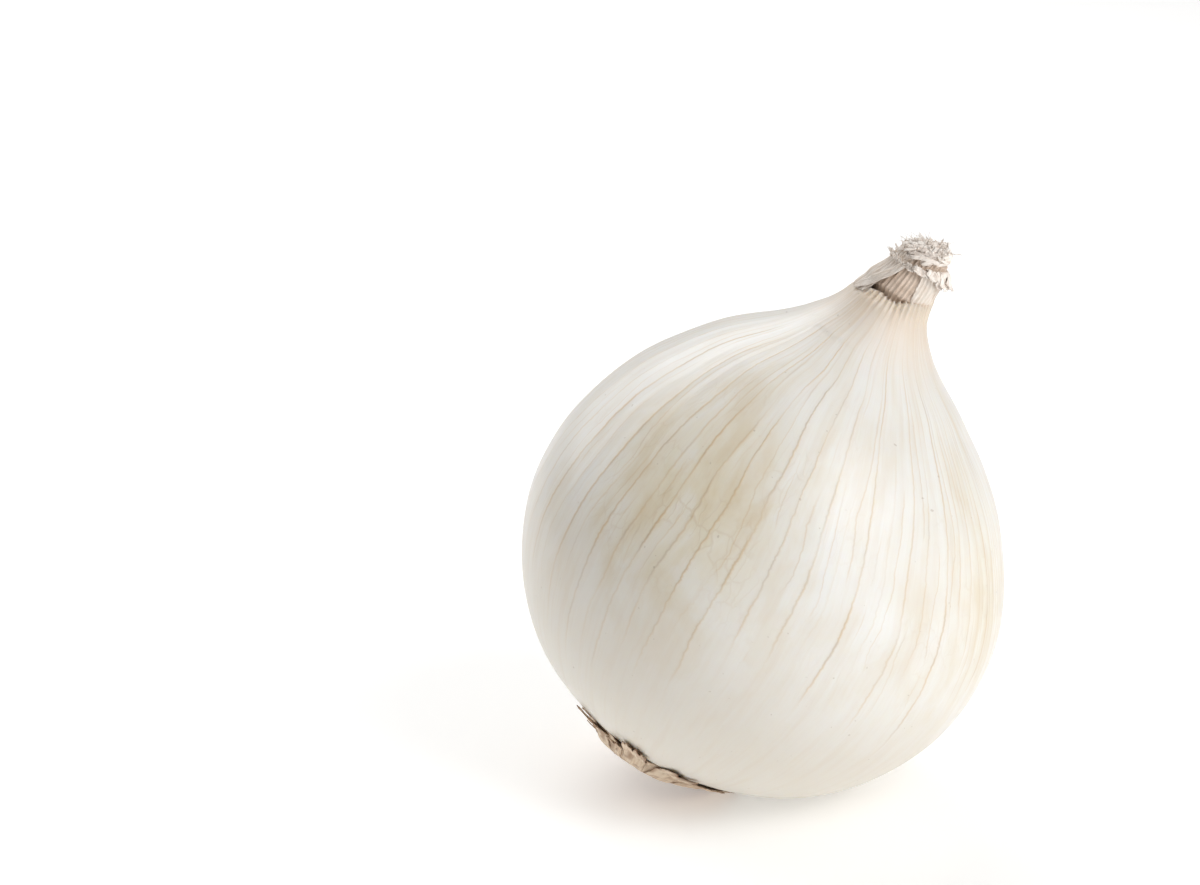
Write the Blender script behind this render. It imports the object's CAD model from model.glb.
"""A white onion in its skin: topped, its roots trimmed, lying on its lower flank. Metres, +Z up."""

import math
import random

import bmesh
import bpy
from mathutils import Matrix, Vector, noise


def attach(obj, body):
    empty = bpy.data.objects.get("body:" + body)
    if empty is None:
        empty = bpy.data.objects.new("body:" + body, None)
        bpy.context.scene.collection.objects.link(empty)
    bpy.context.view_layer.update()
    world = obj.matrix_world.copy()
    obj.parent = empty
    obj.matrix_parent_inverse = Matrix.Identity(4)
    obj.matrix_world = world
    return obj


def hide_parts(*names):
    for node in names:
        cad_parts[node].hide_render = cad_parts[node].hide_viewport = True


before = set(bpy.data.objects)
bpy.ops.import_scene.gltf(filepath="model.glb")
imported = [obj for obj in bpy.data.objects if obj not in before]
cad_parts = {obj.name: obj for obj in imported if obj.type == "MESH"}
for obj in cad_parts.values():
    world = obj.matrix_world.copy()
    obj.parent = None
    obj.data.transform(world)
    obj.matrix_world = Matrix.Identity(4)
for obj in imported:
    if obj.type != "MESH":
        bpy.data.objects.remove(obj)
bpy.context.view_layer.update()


# Camera
# A long lens looks along +Y and 19 degrees down, from 600 mm away. The bulb's middle stands right of and
# below the picture's middle.
MM = 0.001
MIDDLE = Vector((0, 0, 38.52 * MM))
PICTURE_WIDTH = 1200
PICTURE_HEIGHT = 885
PIXELS_PER_MM = 6.0
BULB_PIXEL = (765, 555)
DISTANCE = 600 * MM
SENSOR_WIDTH = 36
ELEVATION = math.radians(19)

away = Vector((0, math.cos(ELEVATION), -math.sin(ELEVATION)))
across = Vector((1, 0, 0))
upwards = across.cross(away)
aim = MIDDLE - across * (BULB_PIXEL[0] - PICTURE_WIDTH / 2) / PIXELS_PER_MM * MM
aim += upwards * (BULB_PIXEL[1] - PICTURE_HEIGHT / 2) / PIXELS_PER_MM * MM

camera = bpy.data.objects.new("camera", bpy.data.cameras.new("camera"))
bpy.context.scene.collection.objects.link(camera)
camera.data.sensor_width = SENSOR_WIDTH
camera.data.lens = SENSOR_WIDTH * PIXELS_PER_MM * DISTANCE / MM / PICTURE_WIDTH
camera.data.clip_start = 10 * MM
camera.location = MIDDLE - away * DISTANCE
camera.rotation_euler = (aim - camera.location).to_track_quat("-Z", "Y").to_euler()
bpy.context.scene.camera = camera


# Bulb
# The fleshy bulb in its outermost skin, which is dry, tight, satin and a little see-through. The skin is
# torn off round the neck in small teeth. Fine tan veins run down it and fade low on the belly.
LEAN = math.radians(28)
BULB_OUTLINE = (
    (50.4, 5.3),
    (48.6, 6.1),
    (46.2, 7.5),
    (43.4, 9.9),
    (40.0, 13.8),
    (36.6, 18.2),
    (30.9, 25.3),
    (24.0, 31.5),
    (16.6, 36.2),
    (8.1, 39.5),
    (0.0, 40.6),
    (-8.2, 39.9),
    (-16.2, 37.1),
    (-23.6, 32.6),
    (-29.6, 26.8),
    (-34.0, 19.3),
    (-36.8, 12.2),
)
ROWS_PER_SPAN = 10
BULB_LOBES = 0.005
CENTRE_LINE = (
    (-38, 0.4),
    (-10, 0.5),
    (8, 0.5),
    (24, -0.2),
    (36, -1.1),
    (43, -2.3),
    (50, -2.5),
    (55, -2.0),
    (62, -1.3),
)
EDGE_HEIGHT = BULB_OUTLINE[0][0]
EDGE_CLIMB = 1.3
EDGE_TEETH = 0.35
SEAT_HEIGHT = 48.0
SEAT_RADIUS = 4.5
LEDGE_HEIGHT = 41.3
TAUT_MIDDLE = 184
TAUT_SPREAD = 62
TAUT_LIFT = 1.2
NECK_RIBS = 40

# The veins that face the camera, as (longitude in degrees, top height, foot height in mm, strength).
# Those on the far side are strewn at about the same spacing.
NEAR_VEINS = (
    (-173.0, 34, -6, 0.45),
    (-165.5, 33, -8, 0.5),
    (-158.0, 36, -14, 0.85),
    (-152.8, 18, -14, 0.35),
    (-147.0, 34, -19, 0.9),
    (-142.3, 12, -16, 0.5),
    (-137.0, 41, -20, 1.0),
    (-131.0, 31, -18, 0.6),
    (-126.0, 41, -21, 1.0),
    (-119.5, 27, -13, 0.6),
    (-113.5, 41, -15, 0.85),
    (-104.4, 41, -14, 0.8),
    (-96.3, 41, -3, 0.55),
    (-88.0, 41, -3, 0.55),
    (-82.0, 30, 2, 0.15),
    (-76.0, 41, -6, 0.8),
    (-69.0, 30, 0, 0.2),
    (-61.5, 41, -8, 0.6),
    (-55.5, 38, 5, 0.5),
    (-47.7, 41, -10, 0.75),
    (-42.0, 36, 14, 0.55),
    (-37.3, 34, 8, 0.55),
    (-33.0, 24, 0, 0.3),
    (-28.0, 36, 2, 0.75),
    (-23.3, 33, 4, 0.5),
    (-19.2, 38, -6, 0.55),
    (-15.0, 32, 2, 0.4),
    (-11.0, 34, 4, 0.5),
    (-5.5, 38, -4, 0.5),
)
FAR_VEINS = 23
COLUMNS_PER_VEIN = 6
VEIN_DRIFT = math.radians(-4.5)


def smoothstep(low, high, value):
    t = min(1.0, max(0.0, (value - low) / (high - low)))
    return t * t * (3 - 2 * t)


def straight(low, high, value):
    return (value - low) / (high - low)


def along(table, at, ease=smoothstep):
    """The value at a place of a table of (place, value) pairs, eased or straight between them."""
    if at <= table[0][0]:
        return table[0][1]
    for (low, a), (high, b) in zip(table, table[1:]):
        if at <= high:
            return a + (b - a) * ease(low, high, at)
    return table[-1][1]


def smooth_outline(anchors, per_span):
    """Points on a smooth curve through the anchors, per_span to each stretch between two of them."""
    points = [Vector(a) for a in anchors]
    tangents = []
    for i in range(len(points)):
        before = points[max(i - 1, 0)]
        after = points[min(i + 1, len(points) - 1)]
        tangents.append((after - before).normalized())
    found = []
    for i in range(len(points) - 1):
        a, b = points[i], points[i + 1]
        reach = (b - a).length
        for step in range(per_span):
            t = step / per_span
            found.append(
                a * (2 * t**3 - 3 * t**2 + 1)
                + tangents[i] * reach * (t**3 - 2 * t**2 + t)
                + b * (3 * t**2 - 2 * t**3)
                + tangents[i + 1] * reach * (t**3 - t**2)
            )
    return found + [points[-1]]


def on_axis(radius, angle, height):
    """A point given by its radius, angle and height in mm round the onion's bent axis."""
    shift = along(CENTRE_LINE, height)
    return Vector((radius * math.cos(angle) + shift, radius * math.sin(angle), height))


def turn(shape, outline, columns):
    """Spins an outline of (height, radius), top to bottom, into a closed skin, and marks its columns."""
    chain = [shape.verts.new((radius, 0, height)) for height, radius in outline]
    edges = [shape.edges.new(pair) for pair in zip(chain, chain[1:])]
    bmesh.ops.spin(
        shape,
        geom=chain + edges,
        cent=(0, 0, 0),
        axis=(0, 0, 1),
        angle=2 * math.pi,
        steps=columns,
        use_merge=True,
    )
    bmesh.ops.remove_doubles(shape, verts=shape.verts, dist=0.0001)
    bmesh.ops.recalc_face_normals(shape, faces=shape.faces)
    column_of = shape.verts.layers.int.new("column")
    for vertex in shape.verts:
        share = math.atan2(vertex.co.y, vertex.co.x) / (2 * math.pi)
        vertex[column_of] = round(share * columns) % columns
    return column_of


def map_round(shape, uv_layer, column_of, columns, map_height):
    """Lays the map of a turned piece: a share of a turn across, and map_height(vertex) up."""
    for face in shape.faces:
        found = [loop.vert[column_of] for loop in face.loops]
        over_seam = max(found) - min(found) > columns / 2
        for loop, column in zip(face.loops, found):
            if over_seam and column < columns / 2:
                column += columns
            loop[uv_layer].uv = (column / columns, map_height(loop.vert))


def lean_over(mesh):
    """Takes a mesh from millimetres upright on the onion's axis to its place in the frame."""
    mesh.transform(Matrix.Translation(MIDDLE) @ Matrix.Rotation(LEAN, 4, "Y") @ Matrix.Scale(MM, 4))


def torn_edge(angle):
    """How far the skin's torn edge lies above its mean height."""
    teeth = 0.8 - 1.6 * abs(math.sin(NECK_RIBS / 2 * angle)) + 0.85 * math.sin(5 * angle + 1)
    teeth += 0.7 * ring_grain(angle, 14, 1.0)
    return EDGE_CLIMB * math.cos(angle) + EDGE_TEETH * teeth


def grain(x, y, z=0.0):
    """Smooth noise from -1 to 1."""
    return noise.noise(Vector((x, y, z)))


def ring_grain(angle, finer, z):
    """Smooth noise from -1 to 1 round the axis, with more grains to a turn the larger finer is."""
    return grain(finer * math.cos(angle), finer * math.sin(angle), z)


def off_angle(angle, middle):
    """How far an angle lies from another, in degrees, from -180 to 180."""
    return (math.degrees(angle) - middle + 180) % 360 - 180


def patch(angle, height, middle, half_width, centre, half_height):
    """A soft round patch on the skin: 1 at its middle, 0 far from it."""
    x = off_angle(angle, middle) / half_width
    y = (height - centre) / half_height
    return math.exp(-(x * x + y * y))


random.seed(11)
veins = [
    {"angle": math.radians(a), "top": top, "foot": foot, "strength": s, "seed": i * 3.7}
    for i, (a, top, foot, s) in enumerate(NEAR_VEINS)
]
first_far = NEAR_VEINS[-1][0]
far_room = 360 + NEAR_VEINS[0][0] - first_far
for i in range(FAR_VEINS):
    share = (i + 1 + random.uniform(-0.25, 0.25)) / (FAR_VEINS + 1)
    veins.append(
        {
            "angle": math.radians(first_far + far_room * share),
            "top": random.choice((41, 41, 36, 30)),
            "foot": random.uniform(-18, 2),
            "strength": random.choice((0.9, 0.7, 0.55, 0.4)),
            "seed": 200 + i * 3.7,
        }
    )
VEIN_COUNT = len(veins)
BULB_COLUMNS = VEIN_COUNT * COLUMNS_PER_VEIN


def vein_angle(number, height):
    """The longitude of a vein at a height: it drifts towards the neck and wanders a little."""
    vein = veins[number % VEIN_COUNT]
    turns = 2 * math.pi * (number // VEIN_COUNT)
    wander = 0.9 * grain(vein["seed"], height / 11) + 0.35 * grain(vein["seed"] + 50, height / 3.5)
    drift = VEIN_DRIFT * smoothstep(8, 42, height)
    return vein["angle"] + turns + drift + math.radians(wander)


def vein_strength(number, height):
    """How strong a vein shows at a height: it fades at both ends and has fainter stretches."""
    vein = veins[number % VEIN_COUNT]
    top = vein["top"] + 2.5 * grain(vein["seed"], 31.0)
    ends = smoothstep(vein["foot"] - 5, vein["foot"] + 5, height)
    ends *= 1 - 0.8 * smoothstep(top - 2, top + 4, height)
    stretches = 0.8 + 0.7 * grain(vein["seed"] + 90, height / 7)
    return vein["strength"] * ends * min(1.0, max(0.15, stretches))


def skin_formula(radius, angle, height, column):
    """The bulb's surface: lobes, ribs that grow to the neck, ridges over the veins, the torn edge."""
    belly = smoothstep(-37, -20, height) * (1 - smoothstep(20, 44, height))
    lobes = BULB_LOBES * (math.cos(2 * angle + 0.8) + 0.8 * math.cos(5 * angle + 2.2))
    at_edge = smoothstep(46.2, 49.6, height)
    rounded = 1 - 2 * abs(math.sin(NECK_RIBS / 2 * angle))
    uneven = 0.75 + 0.6 * ring_grain(angle, 8, 2.0)
    ribs = 0.12 * at_edge * uneven * rounded
    ribs += 0.07 * smoothstep(34, 46, height) * ring_grain(angle, 6, height / 30)
    over_vein = math.cos(2 * math.pi * column / COLUMNS_PER_VEIN)
    fluted = 0.02 + 0.03 * patch(angle, height, -160, 26, 14, 22)
    fluted += 0.035 * patch(angle, height, -40, 30, 22, 20)
    fluted *= smoothstep(-22, -8, height) * (1 - smoothstep(36, 42, height))
    longitude = math.degrees(angle)
    ledge_height = LEDGE_HEIGHT + 0.9 * grain(longitude / 9, 7.1) + 0.4 * grain(longitude / 2.5, 3.3)
    ledge = 0.13 * smoothstep(ledge_height - 0.15, ledge_height + 0.15, height)
    ledge *= 0.25 + 0.75 * patch(angle, 0, -128, 32, 0, 1)
    is_wall = radius > SEAT_RADIUS + 0.3
    if is_wall:
        radius = radius * (1 + belly * lobes) + ribs + taut_side(angle, height)
        radius += fluted * over_vein
        radius += ledge * (1 - smoothstep(45, 49, height))
    height += torn_edge(angle) * smoothstep(SEAT_HEIGHT, EDGE_HEIGHT, height)
    return radius, height


def taut_side(angle, height):
    """How far the skin stands off in mm where it is taut from the shoulder up to the neck's left."""
    off = off_angle(angle, TAUT_MIDDLE) / TAUT_SPREAD
    lift = TAUT_LIFT * math.exp(-off * off) * smoothstep(40, 48.5, height)
    return lift * (1 - smoothstep(50, 56, height))


def warm_tint(angle, height):
    """Where the skin is warmer in colour: on the left of the belly, the right flank and behind."""
    tint = 0.9 * patch(angle, height, -124, 24, 12, 17)
    tint += 0.55 * patch(angle, height, -30, 16, 18, 18)
    tint += 0.3 * patch(angle, height, 110, 40, 8, 20)
    return min(1.0, tint + 0.15 * ring_grain(angle, 2, height / 22))


shape = bmesh.new()
wall = smooth_outline(BULB_OUTLINE, ROWS_PER_SPAN)
seat = [(SEAT_HEIGHT, 0), (SEAT_HEIGHT, 2.5), (SEAT_HEIGHT, SEAT_RADIUS)]
lip = [(EDGE_HEIGHT - 1.2, SEAT_RADIUS), (EDGE_HEIGHT - 0.3, SEAT_RADIUS)]
lip.append((EDGE_HEIGHT, SEAT_RADIUS + 0.15))
lower_end = [(BULB_OUTLINE[-1][0], radius) for radius in (8, 4, 0)]
column_of = turn(shape, seat + lip + wall + lower_end, BULB_COLUMNS)
vein_layer = shape.verts.layers.float.new("vein")
spacing_layer = shape.verts.layers.float.new("spacing")
warm_layer = shape.verts.layers.float.new("warm")
height_layer = shape.verts.layers.float.new("height")
for vertex in shape.verts:
    column = vertex[column_of]
    radius = math.hypot(vertex.co.x, vertex.co.y)
    height = vertex.co.z
    number, part_way = divmod(column, COLUMNS_PER_VEIN)
    share = part_way / COLUMNS_PER_VEIN
    here, beside = vein_angle(number, height), vein_angle(number + 1, height)
    angle = here + (beside - here) * share
    strength = vein_strength(number, height) * (1 - share)
    vertex[vein_layer] = strength + vein_strength(number + 1, height) * share
    vertex[spacing_layer] = (beside - here) * radius
    vertex[warm_layer] = warm_tint(angle, height)
    vertex[height_layer] = height
    radius, height = skin_formula(radius, angle, height, column)
    vertex.co = on_axis(radius, angle, height)
uv_layer = shape.loops.layers.uv.new("skin_map")
map_round(shape, uv_layer, column_of, BULB_COLUMNS, lambda vertex: (vertex[height_layer] + 40) / 100)
bulb_mesh = bpy.data.meshes.new("bulb_skin")
shape.to_mesh(bulb_mesh)
shape.free()
lean_over(bulb_mesh)
for vertex in bulb_mesh.vertices:
    vertex.co.z = max(vertex.co.z, 0)
bulb_mesh.shade_smooth()
bulb_skin = bpy.data.objects.new("bulb_skin", bulb_mesh)
bpy.context.scene.collection.objects.link(bulb_skin)


def add_node(tree, kind, inputs=(), **settings):
    """A new shader node with its settings and inputs set. An input may be given another's socket."""
    made = tree.nodes.new(kind)
    for name, value in settings.items():
        setattr(made, name, value)
    for key, value in dict(inputs).items():
        if isinstance(value, bpy.types.NodeSocket):
            tree.links.new(value, made.inputs[key])
        else:
            made.inputs[key].default_value = value
    return made


def calculate(tree, operation, a, b=0.0, c=0.0, clamp=False):
    """The result socket of a Math node."""
    made = add_node(tree, "ShaderNodeMath", {0: a, 1: b, 2: c}, operation=operation, use_clamp=clamp)
    return made.outputs[0]


def times(tree, *factors):
    """The socket of the product of two or more values."""
    product = factors[0]
    for factor in factors[1:]:
        product = calculate(tree, "MULTIPLY", product, factor)
    return product


def times_plus(tree, a, b, c):
    """The socket of a times b plus c."""
    return calculate(tree, "MULTIPLY_ADD", a, b, c)


def soft_line(tree, distance):
    """A socket that is 1 where a distance is 0 and falls off softly on both sides."""
    return calculate(tree, "EXPONENT", times(tree, distance, distance, -1.0))


def ramp(tree, value, low, high, to_low=0.0, to_high=1.0):
    """The result socket of a smooth Map Range node."""
    inputs = {"Value": value, "From Min": low, "From Max": high, "To Min": to_low, "To Max": to_high}
    return add_node(tree, "ShaderNodeMapRange", inputs, interpolation_type="SMOOTHSTEP").outputs["Result"]


def blend_colours(tree, share, a, b):
    """The result socket of a Mix node between two colours."""
    made = add_node(tree, "ShaderNodeMix", data_type="RGBA")
    for socket, value in zip((made.inputs[0], made.inputs[6], made.inputs[7]), (share, a, b)):
        if isinstance(value, bpy.types.NodeSocket):
            tree.links.new(value, socket)
        else:
            socket.default_value = value
    return made.outputs[2]


def noise_of(tree, vector, scale, detail=3.0, roughness=0.5, distortion=0.0):
    """The value socket of a Noise node."""
    inputs = {"Vector": vector, "Scale": scale, "Detail": detail}
    inputs.update({"Roughness": roughness, "Distortion": distortion})
    return add_node(tree, "ShaderNodeTexNoise", inputs).outputs[0]


def stretched(tree, vector, scale):
    """A vector scaled along its axes by a Mapping node."""
    return add_node(tree, "ShaderNodeMapping", {"Vector": vector, "Scale": scale}).outputs[0]


def new_material(name):
    """A material that holds only a Principled BSDF, and that shader."""
    material = bpy.data.materials.new(name)
    material.use_nodes = True
    return material, material.node_tree, material.node_tree.nodes["Principled BSDF"]


def white_skin_material():
    material, tree, shader = new_material("white_skin")
    skin_map = add_node(tree, "ShaderNodeUVMap", uv_map="skin_map").outputs[0]
    strength, spacing, warm, height = (
        add_node(tree, "ShaderNodeAttribute", attribute_name=name).outputs["Fac"]
        for name in ("vein", "spacing", "warm", "height")
    )
    place = add_node(tree, "ShaderNodeTexCoord").outputs["Object"]

    def map_noise(across_map, up_map, *settings):
        """Noise with so many grains across the skin's map and up it."""
        return noise_of(tree, stretched(tree, skin_map, (across_map, up_map, 1)), 1.0, *settings)

    # Each vein is a soft line where the map's count of veins is a whole number.
    jitter = calculate(tree, "SUBTRACT", map_noise(VEIN_COUNT, 90, 2.0), 0.5)
    count = times(tree, add_node(tree, "ShaderNodeSeparateXYZ", {0: skin_map}).outputs[0], VEIN_COUNT)
    count = times_plus(tree, jitter, 0.13, count)
    off = calculate(tree, "FRACT", calculate(tree, "ADD", count, 0.5))
    off = calculate(tree, "ABSOLUTE", calculate(tree, "SUBTRACT", off, 0.5))
    distance = times(tree, off, spacing)
    half_width = times_plus(tree, strength, 0.08, 0.15)
    half_width = times(tree, half_width, ramp(tree, height, 14, 42, 1.0, 0.5))
    line = soft_line(tree, calculate(tree, "DIVIDE", distance, half_width))
    strength = times(tree, strength, ramp(tree, height, -20, 8, 0.4, 1.0))
    vein = times(tree, line, strength)
    halo = calculate(tree, "SUBTRACT", 1.0, calculate(tree, "DIVIDE", distance, 1.6), clamp=True)
    halo = times(tree, calculate(tree, "POWER", halo, 2.0), strength)
    greyed = ramp(tree, map_noise(VEIN_COUNT * 0.6, 13, 2.0), 0.50, 0.68)

    # A thinner, fainter thread runs here and there half-way between two veins.
    shift = calculate(tree, "SUBTRACT", map_noise(VEIN_COUNT * 0.5, 7, 1.0), 0.5)
    thread = calculate(tree, "ADD", calculate(tree, "FRACT", count), shift)
    thread = calculate(tree, "ABSOLUTE", calculate(tree, "SUBTRACT", thread, 0.5))
    thread = soft_line(tree, calculate(tree, "DIVIDE", times(tree, thread, spacing), 0.13))
    thread_place = ramp(tree, map_noise(VEIN_COUNT * 0.8, 6, 2.0), 0.42, 0.58)
    thread_band = times(tree, ramp(tree, height, -12, 12), ramp(tree, height, 44, 34))
    thread = times(tree, thread, thread_place, thread_band)

    # A finer, fainter net of threads lies between them in patches.
    swirl_map = stretched(tree, skin_map, (VEIN_COUNT * 1.6, 30, 1))
    swirl = add_node(tree, "ShaderNodeTexNoise", {"Vector": swirl_map, "Scale": 1.0, "Detail": 2.0})
    swirl_inputs = {0: swirl.outputs["Color"], 1: (1.3, 1.3, 0)}
    swirl = add_node(tree, "ShaderNodeVectorMath", swirl_inputs, operation="MULTIPLY")
    net_map = stretched(tree, skin_map, (VEIN_COUNT * 2.8, 26, 1))
    net_inputs = {0: net_map, 1: swirl.outputs[0]}
    net_map = add_node(tree, "ShaderNodeVectorMath", net_inputs, operation="ADD").outputs[0]
    cells = add_node(
        tree,
        "ShaderNodeTexVoronoi",
        {"Vector": net_map, "Scale": 1.0, "Randomness": 1.0},
        feature="DISTANCE_TO_EDGE",
        voronoi_dimensions="2D",
    )
    net = ramp(tree, cells.outputs["Distance"], 0.0, 0.11, 1.0, 0.0)
    net_place = ramp(tree, map_noise(26, 11, 3.0), 0.47, 0.62)
    net_band = times(tree, ramp(tree, height, -10, 4), ramp(tree, height, 40, 32))
    net = times(tree, net, net_place, net_band, times_plus(tree, warm, 0.75, 0.25))

    # Very fine fibres run the same way as the veins. Cloudy blotches follow them too.
    fibres = map_noise(520, 14, 3.0, 0.6)
    broad = map_noise(120, 5, 3.0, 0.55)
    blotches = map_noise(34, 8, 4.0, 0.55, 0.4)
    clouds = noise_of(tree, place, 55.0, 3.0, 0.5)
    specks = ramp(tree, noise_of(tree, place, 1100.0, 1.0), 0.76, 0.82)

    # The colours are laid over each other from the broad tints to the lines and specks.
    to_neck = ramp(tree, height, 38, 48)
    blotch = times(tree, ramp(tree, blotches, 0.46, 0.66), times_plus(tree, warm, 0.6, 0.16))
    streak = times(tree, ramp(tree, broad, 0.46, 0.68), times_plus(tree, to_neck, 0.26, 0.10))
    fine = times(tree, ramp(tree, fibres, 0.38, 0.72), times_plus(tree, to_neck, 0.16, 0.08))
    line_colour = blend_colours(tree, greyed, (0.62, 0.415, 0.19, 1), (0.46, 0.335, 0.215, 1))
    white, cream = (0.86, 0.85, 0.815, 1), (0.815, 0.79, 0.735, 1)
    base = blend_colours(tree, ramp(tree, clouds, 0.35, 0.68), white, cream)
    for share, strongest, tint in (
        (warm, 0.62, (0.74, 0.635, 0.405, 1)),
        (blotch, 1.0, (0.70, 0.585, 0.40, 1)),
        (ramp(tree, blotches, 0.48, 0.34), 0.35, (0.87, 0.865, 0.85, 1)),
        (ramp(tree, height, 6, -22), 0.72, (0.725, 0.675, 0.59, 1)),
        (ramp(tree, height, -14, -34), 0.5, (0.80, 0.775, 0.70, 1)),
        (to_neck, 0.8, (0.75, 0.65, 0.55, 1)),
        (ramp(tree, height, 45, 50.5), 0.55, (0.70, 0.575, 0.45, 1)),
        (streak, 1.0, (0.64, 0.47, 0.31, 1)),
        (fine, 1.0, (0.70, 0.58, 0.45, 1)),
        (halo, 0.14, (0.70, 0.55, 0.36, 1)),
        (net, 0.20, (0.55, 0.38, 0.22, 1)),
        (thread, 0.30, line_colour),
        (vein, 0.66, line_colour),
        (specks, 0.4, (0.42, 0.34, 0.26, 1)),
    ):
        base = blend_colours(tree, times(tree, share, strongest), base, tint)
    tree.links.new(base, shader.inputs["Base Color"])

    rough = times_plus(tree, clouds, 0.14, 0.27)
    rough = times_plus(tree, broad, 0.12, rough)
    rough = times_plus(tree, to_neck, 0.15, rough)
    tree.links.new(rough, shader.inputs["Roughness"])
    relief = times_plus(tree, vein, 0.8, times(tree, fibres, 0.25))
    relief = times_plus(tree, net, 0.3, relief)
    relief = times_plus(tree, broad, times_plus(tree, to_neck, 0.9, 0.6), relief)
    bump = add_node(tree, "ShaderNodeBump", {"Strength": 0.55, "Distance": 0.00012, "Height": relief})
    tree.links.new(bump.outputs[0], shader.inputs["Normal"])
    shader.inputs["Subsurface Weight"].default_value = 0.35
    shader.inputs["Subsurface Radius"].default_value = (1.0, 0.8, 0.55)
    shader.inputs["Subsurface Scale"].default_value = 0.003
    shader.inputs["Coat Weight"].default_value = 0.28
    shader.inputs["Coat Roughness"].default_value = 0.36
    return material


bulb_mesh.materials.append(white_skin_material())
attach(bulb_skin, "root")
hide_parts("bulb")


# Neck
# The dry neck is what is left of the leaf bases: a finely ribbed, tan core, and round it the outer skin
# as a paler sleeve. The sleeve is torn open at the front, and its torn side is folded over in a strip.
NECK_OUTLINE = (
    (48.3, 4.0),
    (50.6, 4.0),
    (52.6, 4.15),
    (54.6, 4.1),
    (56.4, 4.1),
    (58.0, 3.8),
)
CORE_COLUMNS = 240
CORE_RIB = 0.13
NECK_SWELL = 0.9
LIP_SWELL = 0.62
SLEEVE_FOOT = 49.4
SLEEVE_TOP = 57.0
SLEEVE_COLUMNS = 288
SLEEVE_ROWS = 36
SLEEVE_THICKNESS = 0.12
SLEEVE_ON_BULB = ((48.6, 6.1), (50.4, 5.3), (51.5, 5.0))
SLEEVE_ON_CORE = ((50.0, 5.2), (52.0, 5.3), (54.0, 4.95), (56.0, 4.55), (58.0, 4.3))
WINDOW_LEFT = ((46.0, -158.0), (48.2, -152.0), (51.5, -142.0), (55.6, -124.0), (60.0, -108.0))
WINDOW_RIGHT = ((46.0, -74.0), (50.7, -76.0), (53.5, -81.0), (56.1, -86.0), (60.0, -90.0))
FOLD_PATH = ((-165, 48.6), (-155, 50.1), (-145, 51.9), (-136, 53.7), (-127, 55.6), (-119, 57.0))
FOLD_WIDTH = 1.35
FOLD_LEAN = (0.72, 0.62)
MAP_LENGTH = 0.3


def core_radius(angle, height):
    """The radius in mm of the neck's ribbed core."""
    swell = NECK_SWELL * smoothstep(50.2, 51.2, height) * (1 - smoothstep(52.5, 56.5, height))
    uneven = 0.12 * ring_grain(angle, 2, height / 3)
    rib = CORE_RIB * (1 - 2 * abs(math.sin(NECK_RIBS / 2 * angle + 0.3)))
    rib += 0.06 * math.sin(23 * angle + 1.1)
    at_lip = LIP_SWELL * (1 - smoothstep(50.0, 52.4, height))
    return along(NECK_OUTLINE, height, straight) + swell + uneven + rib + at_lip


def sleeve_radius(angle, height):
    """The radius in mm of the sleeve: flush with the bulb at its foot, close to the core above."""
    on_bulb = along(SLEEVE_ON_BULB, height, straight) + 0.08
    on_core = along(SLEEVE_ON_CORE, height, straight)
    rib = 0.12 * (0.6 - 1.6 * abs(math.sin(NECK_RIBS / 2 * angle)))
    rib += 0.12 * ring_grain(angle, 3, height / 4) + taut_side(angle, height)
    return on_bulb + (on_core - on_bulb) * smoothstep(49.8, 51.6, height) + rib


def new_piece(name, shape, material, node):
    """Makes the finished object of a piece from a bmesh in millimetres on the onion's axis."""
    mesh = bpy.data.meshes.new(name)
    shape.to_mesh(mesh)
    shape.free()
    lean_over(mesh)
    mesh.shade_smooth()
    mesh.materials.append(material)
    made = bpy.data.objects.new(name, mesh)
    bpy.context.scene.collection.objects.link(made)
    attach(made, "root")
    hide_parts(node)
    return made


def streaks_group():
    """Fibrous streaks that run along a piece's own map, as a value from 0 to 1, coarse and fine."""
    group = bpy.data.node_groups.new("fibrous_streaks", "ShaderNodeTree")
    for name, side in (("Across", "INPUT"), ("Along", "INPUT"), ("Coarse", "OUTPUT"), ("Fine", "OUTPUT")):
        group.interface.new_socket(name, in_out=side, socket_type="NodeSocketFloat")
    start = group.nodes.new("NodeGroupInput")
    end = group.nodes.new("NodeGroupOutput")
    piece_map = add_node(group, "ShaderNodeUVMap", uv_map="piece_map").outputs[0]
    split = add_node(group, "ShaderNodeSeparateXYZ", {0: piece_map})
    x = times(group, split.outputs[0], start.outputs["Across"])
    y = times(group, split.outputs[1], start.outputs["Along"])
    place = add_node(group, "ShaderNodeCombineXYZ", {0: x, 1: y}).outputs[0]
    coarse = noise_of(group, place, 1.0, 3.0, 0.6, 0.3)
    fine = noise_of(group, stretched(group, place, (3.7, 1.6, 1)), 1.0, 4.0, 0.65)
    group.links.new(coarse, end.inputs["Coarse"])
    group.links.new(fine, end.inputs["Fine"])
    return group


FIBROUS_STREAKS = streaks_group()


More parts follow.
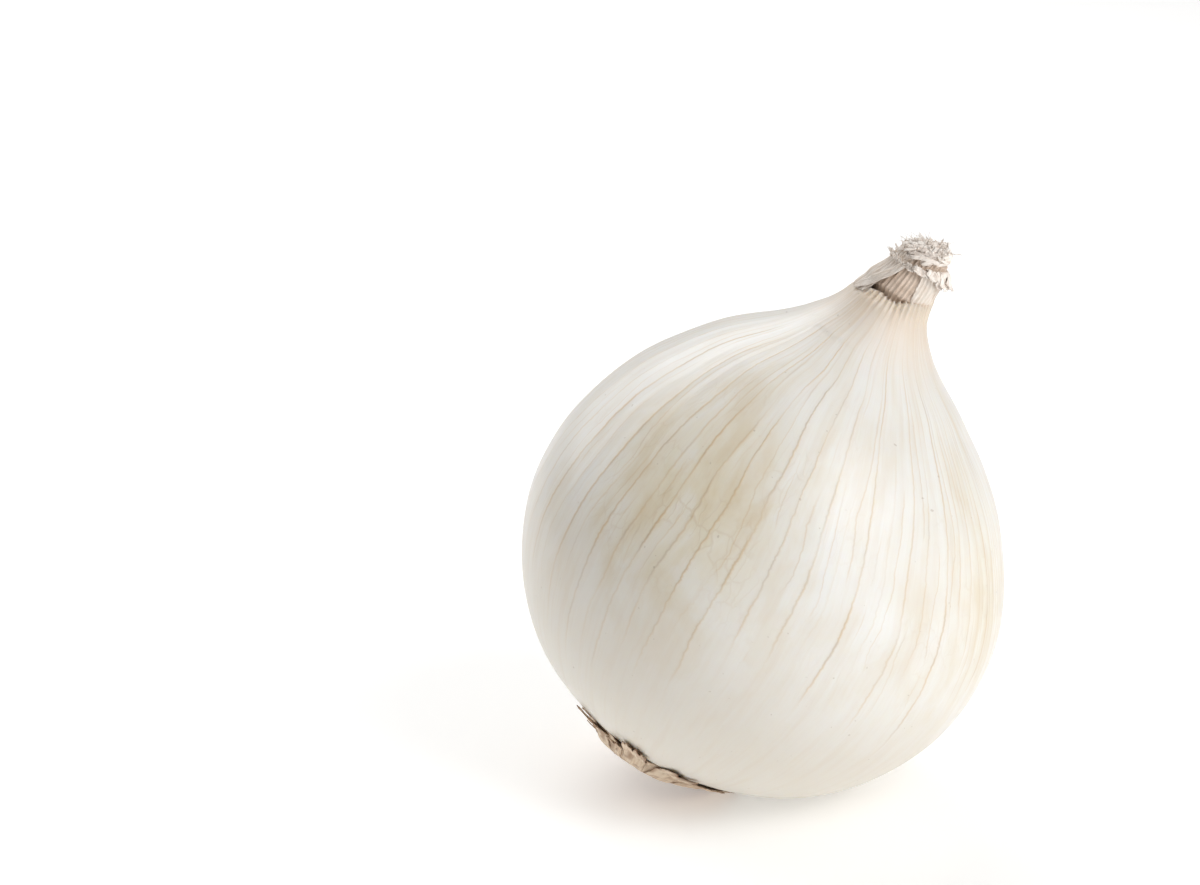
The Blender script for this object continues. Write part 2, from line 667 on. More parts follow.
def dry_material(name, pale, dark, crease, across, along_it, relief):
    """Dry, fibrous leaf: streaks from pale to dark, and a crease colour where the mesh is folded."""
    material, tree, shader = new_material(name)
    streaks = tree.nodes.new("ShaderNodeGroup")
    streaks.node_tree = FIBROUS_STREAKS
    streaks.inputs["Across"].default_value = across
    streaks.inputs["Along"].default_value = along_it
    fold = add_node(tree, "ShaderNodeAttribute", attribute_name="fold").outputs["Fac"]
    place = add_node(tree, "ShaderNodeTexCoord").outputs["Object"]
    blotches = noise_of(tree, place, 420.0, 3.0, 0.6)
    tint = times(tree, ramp(tree, streaks.outputs["Fine"], 0.36, 0.66), 0.45)
    tint = times_plus(tree, ramp(tree, streaks.outputs["Coarse"], 0.40, 0.68), 0.55, tint)
    tint = times(tree, tint, ramp(tree, blotches, 0.3, 0.62, 0.35, 1.0))
    base = blend_colours(tree, tint, (*pale, 1), (*dark, 1))
    base = blend_colours(tree, fold, base, (*crease, 1))
    tree.links.new(base, shader.inputs["Base Color"])
    height = times_plus(tree, streaks.outputs["Fine"], 0.6, streaks.outputs["Coarse"])
    height = times_plus(tree, blotches, 0.5, height)
    bump = add_node(tree, "ShaderNodeBump", {"Strength": 0.7, "Distance": relief * MM, "Height": height})
    tree.links.new(bump.outputs[0], shader.inputs["Normal"])
    shader.inputs["Roughness"].default_value = 0.6
    return material


core_material = dry_material(
    "neck_core_dry", (0.80, 0.665, 0.55), (0.54, 0.40, 0.30), (0.24, 0.16, 0.11), 90, 4, 0.1
)
sleeve_material = dry_material(
    "sleeve_dry", (0.88, 0.815, 0.745), (0.66, 0.52, 0.40), (0.30, 0.20, 0.13), 110, 5, 0.06
)


def mark_layers(shape):
    """The map and the fold mark that the dry materials read."""
    return shape.loops.layers.uv.new("piece_map"), shape.verts.layers.float.new("fold")


shape = bmesh.new()
core_chain = [(48.3, 0), (48.3, 2.5)] + smooth_outline(NECK_OUTLINE, 8) + [(58.3, 2.6), (58.2, 0)]
column_of = turn(shape, core_chain, CORE_COLUMNS)
uv_layer, fold_layer = mark_layers(shape)
for vertex in shape.verts:
    angle = 2 * math.pi * vertex[column_of] / CORE_COLUMNS
    radius = math.hypot(vertex.co.x, vertex.co.y)
    height = vertex.co.z
    if radius > 3:
        radius = core_radius(angle, height)
    low_in_window = 1 - smoothstep(50.3, 51.9, height)
    valley = smoothstep(0.35, 1.0, abs(math.sin(NECK_RIBS / 2 * angle + 0.3)))
    shade = 0.30 * low_in_window + 0.16 * valley + 0.25 * smoothstep(55.6, 57.0, height)
    uneven = 0.8 + 0.5 * ring_grain(angle, 4, height)
    vertex[fold_layer] = min(1.0, shade * uneven)
    vertex.co = on_axis(radius, angle, height)
map_round(shape, uv_layer, column_of, CORE_COLUMNS, lambda vertex: (vertex.co.z - 48) / 10)
neck_core = new_piece("neck_core", shape, core_material, "neck")


def sleeve_height(angle, share):
    """The height in mm of a point a share of the way up the sleeve, between its ragged edges."""
    foot = SLEEVE_FOOT + torn_edge(angle) * 0.7
    ragged_top = SLEEVE_TOP + 0.5 * grain(math.degrees(angle) / 6, 4.4) + 1.2 * math.cos(angle - 2.6)
    return foot + (ragged_top - foot) * share


def in_window(angle, height):
    """Whether a place on the sleeve lies in the window that is torn out of it."""
    at = off_angle(angle, 0)
    jag = 1.6 * grain(height * 2.1, 8.8) + 0.8 * grain(height * 7, 2.2)
    left = along(WINDOW_LEFT, height, straight) + jag
    return left < at < along(WINDOW_RIGHT, height, straight) + jag


# The sleeve is a tube of skin whose faces in the torn window are taken out.
shape = bmesh.new()
sleeve_chain = [(1 - row / SLEEVE_ROWS, 5) for row in range(SLEEVE_ROWS + 1)]
column_of = turn(shape, sleeve_chain, SLEEVE_COLUMNS)
uv_layer, fold_layer = mark_layers(shape)
map_round(shape, uv_layer, column_of, SLEEVE_COLUMNS, lambda vertex: vertex.co.z * 0.8)
torn_out = []
for face in shape.faces:
    columns = [vertex[column_of] for vertex in face.verts]
    over_seam = max(columns) - min(columns) > SLEEVE_COLUMNS / 2
    first_column = max(columns) if over_seam else min(columns)
    angle = 2 * math.pi * first_column / SLEEVE_COLUMNS
    if in_window(angle, sleeve_height(angle, min(vertex.co.z for vertex in face.verts))):
        torn_out.append(face)
for vertex in shape.verts:
    angle = 2 * math.pi * vertex[column_of] / SLEEVE_COLUMNS
    height = sleeve_height(angle, vertex.co.z)
    vertex.co = on_axis(sleeve_radius(angle, height), angle, height)
    on_left = 1 - 0.75 * patch(angle, height, -30, 50, 53, 30)
    valley = smoothstep(0.3, 1.0, abs(math.sin(NECK_RIBS / 2 * angle)))
    mottled = 0.6 + 0.8 * ring_grain(angle, 9, height / 2.5)
    vertex[fold_layer] = max(0.0, min(1.0, (0.10 + 0.34 * valley) * on_left * mottled))
bmesh.ops.delete(shape, geom=torn_out, context="FACES")
bmesh.ops.recalc_face_normals(shape, faces=shape.faces)
bmesh.ops.solidify(shape, geom=shape.faces[:], thickness=SLEEVE_THICKNESS)
bmesh.ops.recalc_face_normals(shape, faces=shape.faces)
neck_sleeve = new_piece("neck_sleeve", shape, sleeve_material, "neck")


def face_out(shape, faces):
    """Turns the faces of a closed piece outward: they enclose a volume above 0 when they face out."""
    volume = 0
    for face in faces:
        corners = [vertex.co for vertex in face.verts]
        for b, c in zip(corners[1:], corners[2:]):
            volume += corners[0].dot(b.cross(c))
    if volume < 0:
        bmesh.ops.reverse_faces(shape, faces=faces)


def lay_sheet(shape, layers, across_steps, up_steps, place, fold, uv_start, uv_width, thickness):
    """Adds a closed thin sheet laid where place(u, v) says: u from -1 to 1 across, v from 0 to 1 up."""
    uv_layer, fold_layer = layers
    sheet = bmesh.ops.create_grid(shape, x_segments=across_steps, y_segments=up_steps, size=1)["verts"]
    faces = list(dict.fromkeys(face for vertex in sheet for face in vertex.link_faces))
    for face in faces:
        for loop in face.loops:
            x, y = (loop.vert.co.x + 1) / 2, (loop.vert.co.y + 1) / 2
            loop[uv_layer].uv = (uv_start + x * uv_width, y * MAP_LENGTH)
    for vertex in sheet:
        u, v = vertex.co.x, (vertex.co.y + 1) / 2
        vertex[fold_layer] = min(1.0, max(0.0, fold(u, v)))
        vertex.co = place(u, v)
    for face in faces:
        face.normal_update()
    for vertex in sheet:
        vertex.normal_update()
    grown = bmesh.ops.extrude_face_region(shape, geom=faces, use_keep_orig=True)["geom"]
    for item in grown:
        if isinstance(item, bmesh.types.BMVert):
            item.co += item.normal * thickness
    all_faces = [face for vertex in sheet for face in vertex.link_faces]
    all_faces += [item for item in grown if isinstance(item, bmesh.types.BMFace)]
    all_faces = list(dict.fromkeys(all_faces))
    bmesh.ops.recalc_face_normals(shape, faces=all_faces)
    face_out(shape, all_faces)


def fold_place(u, v):
    """A point of the folded strip, which runs up the window's left side."""
    at = v * (len(FOLD_PATH) - 1)
    start = min(int(at), len(FOLD_PATH) - 2)
    (a, low), (b, high) = FOLD_PATH[start], FOLD_PATH[start + 1]
    angle = math.radians(a + (b - a) * (at - start))
    height = low + (high - low) * (at - start)
    width = FOLD_WIDTH * (0.45 + 0.75 * math.sin(math.pi * min(1.0, 0.15 + 0.8 * v))) / 2
    angle += u * width * FOLD_LEAN[0] / sleeve_radius(angle, height)
    height -= u * width * FOLD_LEAN[1]
    lift = 0.16 + 0.14 * u * u + 0.08 * math.sin(9 * v + 2 * u) + 0.05 * math.sin(14 * u)
    return on_axis(sleeve_radius(angle, height) + lift, angle, height)


# The torn side of the window is folded over in a ribbon with raised edges.
shape = bmesh.new()
layers = mark_layers(shape)
lay_sheet(shape, layers, 14, 30, fold_place, lambda u, v: 0.6 * smoothstep(0.75, 1.0, v), 0.0, 0.25, 0.14)
neck_fold = new_piece("neck_fold", shape, sleeve_material, "neck")


# Crown
# The cut top of the neck has dried into a crumpled, mushroom-like cap with a dark slit under its rim.
# Torn ends of leaf bases curl out and down from under it, and fine fibres stand out of it.
CAP_CENTRE = (-2.1, 0.0, 57.9)
CAP_HALF_SIZES = (3.7, 3.8, 2.2)
CAP_TILT = math.radians(-16)
CAP_COLUMNS = 180
CAP_ROWS = 60
CAP_WRAP = 0.80
FLAPS = (
    # (longitude, half width in degrees, foot height, how far out, how far down)
    (-118, 17, 55.6, 0.5, 0.1),
    (-88, 20, 56.2, 0.7, 0.5),
    (-64, 17, 56.7, 1.1, 0.9),
    (-40, 17, 57.0, 1.4, 2.2),
    (-22, 24, 57.2, 1.8, 2.4),
    (-4, 24, 57.0, 2.6, 1.9),
    (26, 22, 56.5, 2.2, 1.8),
    (58, 18, 56.4, 1.4, 1.2),
    (90, 20, 56.0, 0.9, 0.4),
    (118, 14, 55.6, 0.5, -0.6),
    (140, 14, 55.4, 0.6, -0.9),
    (163, 14, 55.2, 0.5, -0.8),
    (186, 14, 55.0, 0.6, -1.0),
    (208, 14, 55.0, 0.5, -0.8),
    (228, 13, 55.2, 0.4, -0.8),
)
FLAP_START = 3.9
SHREDS = 90
TOP_BLADES = 60
TUFT_HEIGHT = 59.6
FRINGE_BLADES = 26
FRINGE_HEIGHT = 55.9
WISPS = 260
WISP_HEIGHT = 59.7
FIBRE_TAPER = 0.6

crown_material = dry_material(
    "crown_dry", (0.98, 0.93, 0.875), (0.82, 0.69, 0.58), (0.30, 0.18, 0.12), 34, 8, 0.06
)
cap_tilt = Matrix.Rotation(CAP_TILT, 3, "Y")


def on_cap(flat, angle, up):
    """A point in mm given in shares of the tilted cap's half sizes."""
    wide, deep, tall = CAP_HALF_SIZES
    local = Vector((wide * flat * math.cos(angle), deep * flat * math.sin(angle), tall * up))
    return cap_tilt @ local + Vector(CAP_CENTRE)


# The cap's outline goes from its top over its rim and in under it.
shape = bmesh.new()
cap_ways = [math.pi * (CAP_WRAP * row / CAP_ROWS) for row in range(CAP_ROWS + 1)]
cap_chain = [(math.cos(way), math.sin(way)) for way in cap_ways] + [(-0.75, 0.0)]
column_of = turn(shape, cap_chain, CAP_COLUMNS)
layers = mark_layers(shape)
uv_layer, fold_layer = layers
for vertex in shape.verts:
    angle = 2 * math.pi * vertex[column_of] / CAP_COLUMNS
    flat = math.hypot(vertex.co.x, vertex.co.y)
    up = vertex.co.z
    rim = smoothstep(0.55, 0.95, flat)
    # Folds swirl round the top like cloth drawn together.
    swirl = angle + 1.4 * (1 - flat) + 0.5 * ring_grain(angle, 3, up)
    folds = 0.55 * math.sin(5 * swirl + 1.0) + 0.45 * math.sin(11 * swirl + 2.2)
    folds += 0.3 * math.sin(23 * swirl)
    rough = grain(vertex.co.x * 2.6, vertex.co.y * 2.6, up * 2.6 + 5)
    fine = grain(vertex.co.x * 8, vertex.co.y * 8, up * 8)
    ridge = 1 - 2 * abs(grain(vertex.co.x * 4 + 9, vertex.co.y * 4, up * 4))
    push = 0.06 * folds * smoothstep(0.05, 0.4, flat) + 0.10 * rough + 0.02 * fine + 0.04 * ridge
    under = smoothstep(-0.05, -0.6, up)
    radius = flat * (1 + push) * (1 - 0.10 * under)
    lobe = 1 + 0.09 * math.cos(angle - 0.1) + 0.06 * math.sin(3 * angle + 1)
    crease = smoothstep(0.0, -0.2, push) * 0.35 + 0.7 * under
    vertex[fold_layer] = min(1.0, crease)
    vertex.co = on_cap(radius * lobe, angle, up * (1 + 0.6 * push) + 0.10 * rough * rim)
map_round(shape, uv_layer, column_of, CAP_COLUMNS, lambda vertex: (vertex.co.z - 54) / 12)
crown_cap = new_piece("crown_cap", shape, crown_material, "neck")

# Torn leaf ends hang and curl out from under the cap, and crumpled shreds lie over it.
random.seed(23)
shape = bmesh.new()
layers = mark_layers(shape)
for number, (at, half_width, foot, out, down) in enumerate(FLAPS):
    middle = math.radians(at)
    spread = math.radians(half_width)
    seed = number * 5.3

    def flap_place(u, v):
        nick = 1 + 0.12 * grain(u * 2.5, seed) * v + 0.10 * grain(u * 9, seed + 2) * v - 0.18 * v * u * u
        reach = v * nick
        angle = middle + u * spread * (1 - 0.15 * v) + 0.08 * grain(v * 3, seed + 4)
        crumple = 0.50 * grain(u * 2.2 + seed, v * 2.6) + 0.26 * grain(u * 7 + seed, v * 6)
        radius = FLAP_START + 0.4 * v + out * reach**1.2 + crumple * (0.25 + 0.75 * v)
        height = foot + 0.5 * math.sin(math.pi * min(1.0, 1.3 * v)) - down * reach**1.5
        height += 0.3 * grain(u * 4, v * 4 + seed)
        return on_axis(radius, angle, height)

    def flap_fold(u, v):
        hollow = smoothstep(0.0, -0.4, grain(u * 2.2 + seed, v * 2.6))
        return 0.35 * hollow + 0.5 * (1 - smoothstep(0.0, 0.3, v))

    lay_sheet(shape, layers, 20, 16, flap_place, flap_fold, random.random(), 0.5, 0.10)

for number in range(SHREDS):
    around = random.uniform(0, 2 * math.pi)
    down_way = random.uniform(0.25, 1.75)
    half_width = random.uniform(0.05, 0.20)
    length = random.uniform(0.6, 1.6)
    twist = random.choice((-1, 1)) * random.uniform(0.7, 1.7)
    raised = random.uniform(0.1, 1.1)
    seed = 700 + number * 4.1

    def shred_place(u, v):
        along_way = (v - 0.5) * length
        side_way = u * half_width * (1 - 0.3 * v) * (1 + 0.3 * grain(v * 5, seed))
        down = down_way + along_way * math.cos(twist) - side_way * math.sin(twist)
        angle = along_way * math.sin(twist) + side_way * math.cos(twist)
        angle = around + angle / max(0.35, math.sin(down))
        lift = 1.06 + 0.16 * raised * v * v + 0.03 * math.sin(7 * v + seed)
        lift += 0.04 * grain(u * 2 + seed, v * 3)
        return on_cap(math.sin(down) * lift, angle, math.cos(down) * lift)

    def shred_fold(u, v):
        return 0.25 * (1 - smoothstep(0.0, 0.2, v)) + 0.30 * (seed % 3 > 2)

    lay_sheet(shape, layers, 5, 16, shred_place, shred_fold, random.random(), 0.3, 0.08)

# Short torn ends stand on the cap and round its left rim.
for number in range(TOP_BLADES + FRINGE_BLADES):
    on_top = number < TOP_BLADES
    middle = random.uniform(0, 2 * math.pi) if on_top else math.radians(random.uniform(105, 262))
    start = random.uniform(0.4, 3.6) if on_top else random.uniform(4.0, 4.6)
    length = random.uniform(0.7, 1.9) if on_top else random.uniform(0.8, 1.8)
    width = random.uniform(0.12, 0.5)
    lean_out = random.uniform(0.1, 0.9)
    heading = middle + random.uniform(-0.8, 0.8)
    bend = random.uniform(-0.6, 0.9)
    seed = 300 + number * 2.9
    foot_x = start * math.cos(middle)
    foot_y = start * math.sin(middle)
    on_cap_top = TUFT_HEIGHT + 0.28 * foot_x - 0.09 * start * start
    foot = on_cap_top if on_top else FRINGE_HEIGHT + 0.20 * foot_x
    side = Vector((-math.sin(heading), math.cos(heading), 0))
    outwards = Vector((math.cos(heading), math.sin(heading), 0))

    def tuft_place(u, v):
        reach = v * (1 + 0.5 * grain(u * 3, seed))
        sideways = side * (u * width * (1 - 0.45 * v) + 0.2 * grain(v * 3, seed + 7))
        crumple = 0.30 * grain(u * 2 + seed, v * 4)
        off = outwards * (length * lean_out * reach + bend * reach * reach + crumple)
        shift = Vector((foot_x + along(CENTRE_LINE, foot), foot_y, foot))
        return shift + sideways + off + Vector((0, 0, length * reach * (1 - 0.35 * lean_out * reach)))

    def tuft_fold(u, v):
        return 0.4 * (1 - smoothstep(0.0, 0.5, v)) * smoothstep(-0.2, 0.3, grain(u * 2 + seed, v * 4))

    lay_sheet(shape, layers, 6, 7, tuft_place, tuft_fold, random.random(), 0.2, 0.07)
crown_leaves = new_piece("crown_leaves", shape, crown_material, "neck")


def lay_fibre(shape, layers, points, thickness):
    """Adds a thin three-sided fibre along the points, which tapers to its tip."""
    uv_layer, fold_layer = layers
    rings = []
    for number, point in enumerate(points):
        ahead = points[min(number + 1, len(points) - 1)] - points[max(number - 1, 0)]
        side = ahead.orthogonal().normalized()
        radius = thickness / 2 * (1 - FIBRE_TAPER * number / (len(points) - 1))
        turned_ring = []
        for corner in range(3):
            way = Matrix.Rotation(2 * math.pi * corner / 3, 3, ahead.normalized()) @ side
            turned_ring.append(shape.verts.new(point + way * radius))
        rings.append(turned_ring)
    made = [shape.faces.new(reversed(rings[0])), shape.faces.new(rings[-1])]
    start = random.random()
    for step, (lower, upper) in enumerate(zip(rings, rings[1:])):
        for corner in range(3):
            beside = (corner + 1) % 3
            face = shape.faces.new((lower[corner], lower[beside], upper[beside], upper[corner]))
            for loop, up_step in zip(face.loops, (0, 0, 1, 1)):
                loop[uv_layer].uv = (start, (step + up_step) / len(rings) * MAP_LENGTH)
            made.append(face)
    face_out(shape, made)


shape = bmesh.new()
layers = mark_layers(shape)
for number in range(WISPS):
    middle = random.uniform(0, 2 * math.pi)
    start = random.uniform(0.4, 3.9)
    foot_x, foot_y = start * math.cos(middle), start * math.sin(middle)
    foot = WISP_HEIGHT + 0.28 * foot_x - 0.10 * start * start
    point = Vector((foot_x + along(CENTRE_LINE, 57) - 0.4, foot_y, foot))
    way = Vector((math.cos(middle), math.sin(middle), 0)) * random.uniform(0.1, 0.9)
    way = (way + Vector((random.uniform(-0.4, 0.4), random.uniform(-0.4, 0.4), 1.0))).normalized()
    curl = Vector((random.uniform(-1, 1), random.uniform(-1, 1), random.uniform(-0.9, 0.4)))
    length = random.uniform(0.6, 1.8) if number % 6 else random.uniform(2.0, 3.0)
    points = [point.copy()]
    for step in range(6):
        way = (way + curl * 0.42).normalized()
        point = point + way * length / 6
        points.append(point.copy())
    lay_fibre(shape, layers, points, random.uniform(0.09, 0.22))
crown_wisps = new_piece("crown_wisps", shape, crown_material, "neck")


# Root plate
# The root end is a hard, knobbly brown disc. Its roots are trimmed to short bent stubs that lie matted on
# it, and brittle brown scraps of old outer skin cling round its rim.
PLATE_OUTLINE = ((-36.3, 12.5), (-37.0, 12.9), (-37.9, 12.4), (-38.5, 10.4), (-38.9, 6.0))
PLATE_COLUMNS = 120
SKIRT_OUTLINE = ((-38.75, 9.9), (-38.7, 12.4), (-38.1, 13.9), (-37.0, 15.0), (-35.75, 15.85))
SKIRT_RUN = 4.0
SKIRT_SHARE = 0.6
PLATE_CUT_SHORT = 1.7
ROOT_STUBS = 170
ROOT_FIELD = 11.4
ROOT_REACH = 12.4
GOLDEN_ANGLE = math.pi * (3 - math.sqrt(5))
TABLE_MARGIN = 0.25
SCRAPS = (
    # (longitude, half width in radians, length up the skin, lift off the bulb at its end, seed)
    (20, 0.30, 1.0, 0.05, 0.5),
    (55, 0.30, 1.0, 0.05, 0.8),
    (85, 0.28, 1.4, 0.1, 1.0),
    (110, 0.26, 2.2, 0.1, 2.0),
    (136, 0.26, 1.6, 0.1, 3.0),
    (160, 0.16, 0.8, 0.1, 4.0),
    (186, 0.16, 0.8, 0.1, 5.5),
    (206, 0.10, 0.8, 0.05, 6.0),
    (216, 0.12, 4.4, 0.15, 7.0),
    (230, 0.13, 7.2, 0.2, 8.0),
    (240, 0.06, 5.6, 0.5, 8.5),
    (252, 0.16, 8.6, 0.1, 9.0),
    (269, 0.18, 7.6, 0.1, 10.0),
    (288, 0.20, 6.4, 0.1, 11.0),
    (308, 0.22, 3.6, 0.05, 12.0),
    (334, 0.26, 1.0, 0.05, 14.0),
)
SPLINTERS = (
    # (longitude, height and radius, each first and last, then the thickness)
    (231, 212, -37.4, -36.6, 14.7, 16.1, 0.42),
    (236, 229, -38.0, -37.3, 14.2, 15.3, 0.75),
    (264, 250, -38.2, -37.9, 13.9, 14.6, 0.45),
)

root_material = dry_material(
    "root_dry", (0.70, 0.57, 0.44), (0.38, 0.25, 0.16), (0.12, 0.075, 0.045), 60, 12, 0.15
)
scrap_material = dry_material(
    "scrap_dry", (0.87, 0.74, 0.58), (0.62, 0.42, 0.26), (0.31, 0.165, 0.09), 40, 7, 0.08
)
lower_curve = list(reversed(smooth_outline(BULB_OUTLINE[-5:], 8)))


def off_the_bulb(run, stand_off):
    """The (height, radius) in mm of a point a run up the bulb from its lower rim and off its skin."""
    for lower, upper in zip(lower_curve, lower_curve[1:]):
        stretch = (upper - lower).length
        outwards = Vector((lower.y - upper.y, upper.x - lower.x)) / stretch
        if run <= stretch:
            break
        run -= stretch
    return lower.lerp(upper, run / stretch) + outwards * stand_off


to_table = Matrix.Rotation(LEAN, 3, "Y")


def above_table(point):
    """The point, lifted off the table if the leaned onion would press it in."""
    placed = to_table @ point
    placed.z = max(placed.z, TABLE_MARGIN - MIDDLE.z / MM)
    return to_table.inverted() @ placed


shape = bmesh.new()
plate_chain = [(-37.0, 0), (-37.0, 6)] + smooth_outline(PLATE_OUTLINE, 4) + [(-38.9, 2.5), (-38.9, 0)]
column_of = turn(shape, plate_chain, PLATE_COLUMNS)
layers = mark_layers(shape)
uv_layer, fold_layer = layers
for vertex in shape.verts:
    angle = 2 * math.pi * vertex[column_of] / PLATE_COLUMNS
    radius = math.hypot(vertex.co.x, vertex.co.y)
    height = vertex.co.z
    face_side = smoothstep(-37.3, -38.2, height)
    knobs = grain(radius * math.cos(angle) * 0.9, radius * math.sin(angle) * 0.9)
    height -= 0.35 * knobs * face_side
    rim = smoothstep(7, 12, radius)
    uneven = 0.25 * (math.sin(3 * angle + 0.4) + 0.6 * math.sin(8 * angle) - 1.2)
    radius += rim * (uneven - PLATE_CUT_SHORT * max(0.0, math.cos(angle)))
    vertex[fold_layer] = smoothstep(0.1, -0.4, knobs) * 0.7
    vertex.co = above_table(on_axis(radius, angle, height))
for face in shape.faces:
    for loop in face.loops:
        loop[uv_layer].uv = (loop.vert.co.x / 25, loop.vert.co.y / 25)
root_disc = new_piece("root_disc", shape, root_material, "root_plate")

random.seed(31)
shape = bmesh.new()
layers = mark_layers(shape)
for number in range(ROOT_STUBS):
    angle = number * GOLDEN_ANGLE
    start = ROOT_FIELD * math.sqrt((number + 0.5) / ROOT_STUBS)
    length = random.uniform(1.5, 4.5)
    lift = random.uniform(0.3, 1.1)
    bend = random.uniform(-0.9, 0.9)
    heading = angle + random.uniform(-1.0, 1.0)
    foot = -37.9 if start > 8 else -38.5
    points = []
    for t in (0, 0.25, 0.5, 0.75, 1):
        way = heading + bend * t
        off = length * t * t
        x = start * math.cos(angle) + off * math.cos(way)
        y = start * math.sin(angle) + off * math.sin(way)
        reach = math.hypot(x, y)
        most = ROOT_REACH * (1 - 0.3 * max(0.0, x / reach))
        if reach > most:
            x, y = x * most / reach, y * most / reach
        down = lift * math.sin(math.pi * min(1.0, 1.25 * t) * 0.8)
        points.append(above_table(Vector((x + 0.4, y, foot - down))))
    lay_fibre(shape, layers, points, random.uniform(0.35, 0.75))
for first, last, low, high, inner, outer, thickness in SPLINTERS:
    points = []
    for step in range(9):
        share = step / 8
        angle = math.radians(first + (last - first) * share)
        height = low + (high - low) * share + 0.12 * math.sin(5 * share)
        points.append(above_table(on_axis(inner + (outer - inner) * share**1.5, angle, height)))
    lay_fibre(shape, layers, points, thickness)
root_stubs = new_piece("root_stubs", shape, root_material, "root_plate")

skirt_curve = smooth_outline(SKIRT_OUTLINE, 6)


def clinging(angle, run, stand_off, v):
    """The place in mm of a scrap's point: from under the disc, round its rim, then up the skin."""
    share = min(1.0, v / SKIRT_SHARE)
    number = min(int(share * (len(skirt_curve) - 1)), len(skirt_curve) - 2)
    on_skirt = skirt_curve[number].lerp(skirt_curve[number + 1], share * (len(skirt_curve) - 1) - number)
    on_skirt = on_skirt + Vector((-0.6, 0.8)) * stand_off * share
    close_by = Vector(off_the_bulb(SKIRT_RUN * share, 0.1 + stand_off * 0.3))
    # On the side that lies on the table, and on the far left, all is pressed flat against the skin.
    pressed = max(math.cos(angle), 1 - smoothstep(26, 52, abs(off_angle(angle, 176))), 0.0)
    place = on_skirt.lerp(close_by, pressed)
    if v > SKIRT_SHARE:
        run = max(0.0, run) * (1 - 0.8 * pressed)
        place = Vector(off_the_bulb(SKIRT_RUN + run, stand_off * (1 - 0.65 * pressed)))
    return above_table(on_axis(place.y, angle, place.x))


def collar_place(u, v):
    angle = math.pi * 1.01 * u
    ragged = ring_grain(angle, 5, 3.0)
    ragged += 0.6 * ring_grain(angle, 21, 5.0)
    crumple = 0.55 * ring_grain(angle, 6, v * 3)
    crumple += 0.22 * ring_grain(angle, 26, v * 9)
    run = (1.4 + 1.1 * ragged) * (v - SKIRT_SHARE) / (1 - SKIRT_SHARE)
    return clinging(angle, run, 0.2 + crumple * smoothstep(0.0, 0.3, v), v)


def collar_fold(u, v):
    angle = math.pi * 1.01 * u
    wrinkle = smoothstep(0.05, 0.45, ring_grain(angle, 9, v * 14))
    return 0.5 * smoothstep(0.86, 1.0, v) + 0.8 * smoothstep(0.32, 0.1, v) + 0.5 * wrinkle


# A torn collar runs all round the plate, and longer scraps lie over it.
shape = bmesh.new()
layers = mark_layers(shape)
lay_sheet(shape, layers, 200, 16, collar_place, collar_fold, 0.3, 4.0, 0.12)
for at, half_width, length, lift, seed in SCRAPS:
    middle = math.radians(at)

    def scrap_place(u, v):
        nick = 1 + 0.30 * grain(u * 2, seed * 3.1) + 0.12 * grain(u * 8, seed * 2.3)
        reach = v * nick
        crumple = 0.42 * grain(u * 1.8 + seed, v * 3) + 0.16 * grain(u * 3 + seed, v * 11)
        crumple *= smoothstep(0.0, 0.3, v)
        slant = 0.20 * math.sin(7 * seed) * v
        run = length * (reach - SKIRT_SHARE) / (1 - SKIRT_SHARE)
        spread = half_width * (1 - 0.35 * v) * (1 + 0.15 * grain(v * 4, seed))
        return clinging(middle + slant + u * spread, run, 0.42 + lift * reach * reach + crumple, v)

    def scrap_fold(u, v):
        edge = 0.4 * smoothstep(0.86, 1.0, abs(u)) + 0.7 * smoothstep(0.9, 1.0, v)
        edge += 0.7 * smoothstep(0.3, 0.1, v)
        return min(0.8, edge) + 0.55 * smoothstep(0.0, 0.35, grain(u * 1.4 + seed, v * 13))

    lay_sheet(shape, layers, 20, 18, scrap_place, scrap_fold, random.random(), 0.5, 0.16)
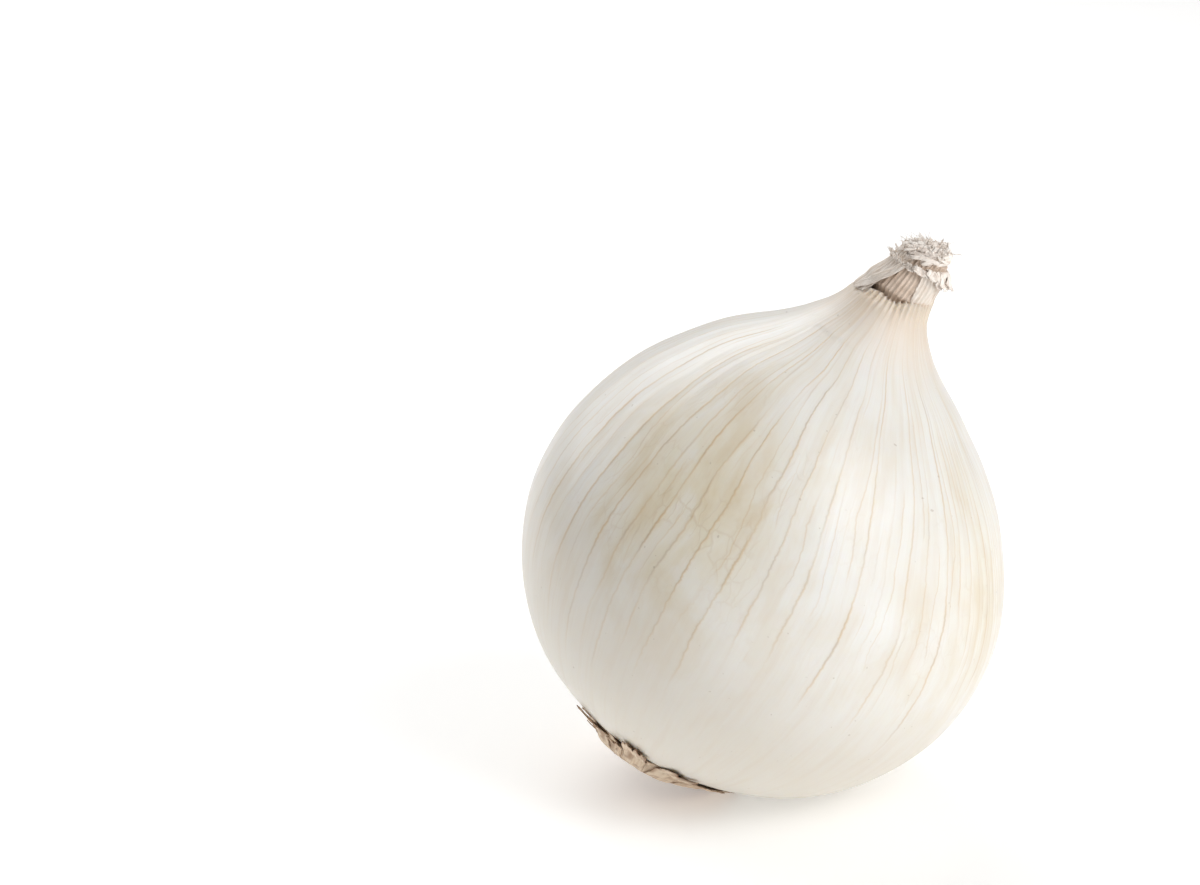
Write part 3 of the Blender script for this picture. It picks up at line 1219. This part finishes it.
root_scraps = new_piece("root_scraps", shape, scrap_material, "root_plate")


# Floor and light
# A plain white table under soft, even studio light: a white sky and six wide lamps. The strongest stand
# on the right in front, and on the left behind.
floor_mesh = bpy.data.meshes.new("floor")
shape = bmesh.new()
bmesh.ops.create_grid(shape, x_segments=1, y_segments=1, size=4.0)
shape.to_mesh(floor_mesh)
shape.free()
floor = bpy.data.objects.new("floor", floor_mesh)
bpy.context.scene.collection.objects.link(floor)
floor_white, _, floor_shader = new_material("floor_white")
floor_shader.inputs["Base Color"].default_value = (0.92, 0.915, 0.905, 1)
floor_shader.inputs["Roughness"].default_value = 0.6
floor_shader.inputs["Emission Color"].default_value = (1, 1, 1, 1)
floor_shader.inputs["Emission Strength"].default_value = 0.275
floor_mesh.materials.append(floor_white)

world = bpy.data.worlds.new("studio")
bpy.context.scene.world = world
world.use_nodes = True
world.node_tree.nodes["Background"].inputs["Color"].default_value = (1, 1, 1, 1)
world.node_tree.nodes["Background"].inputs["Strength"].default_value = 0.27


def add_lamp(name, place, power, width, depth):
    """A soft rectangular lamp that points at the bulb's middle."""
    lamp = bpy.data.lights.new(name, "AREA")
    lamp.shape = "RECTANGLE"
    lamp.size = width
    lamp.size_y = depth
    lamp.energy = power
    made = bpy.data.objects.new(name, lamp)
    made.location = place
    made.rotation_euler = (MIDDLE - Vector(place)).to_track_quat("-Z", "Y").to_euler()
    bpy.context.scene.collection.objects.link(made)


add_lamp("right_lamp", (0.80, -0.50, 0.40), 3.1, 0.6, 0.7)
add_lamp("upper_right_lamp", (0.60, -0.45, 0.75), 3.2, 0.5, 0.5)
add_lamp("top_lamp", (0.25, -0.2, 1.1), 1.2, 0.7, 0.7)
add_lamp("left_lamp", (-0.6, 0.55, 0.6), 3.5, 0.7, 0.8)
add_lamp("back_lamp", (-0.15, 0.75, 0.8), 2.8, 0.6, 0.6)
add_lamp("low_left_lamp", (-0.95, -0.1, 0.35), 0.2, 0.6, 0.6)
bpy.context.scene.view_settings.view_transform = "Standard"
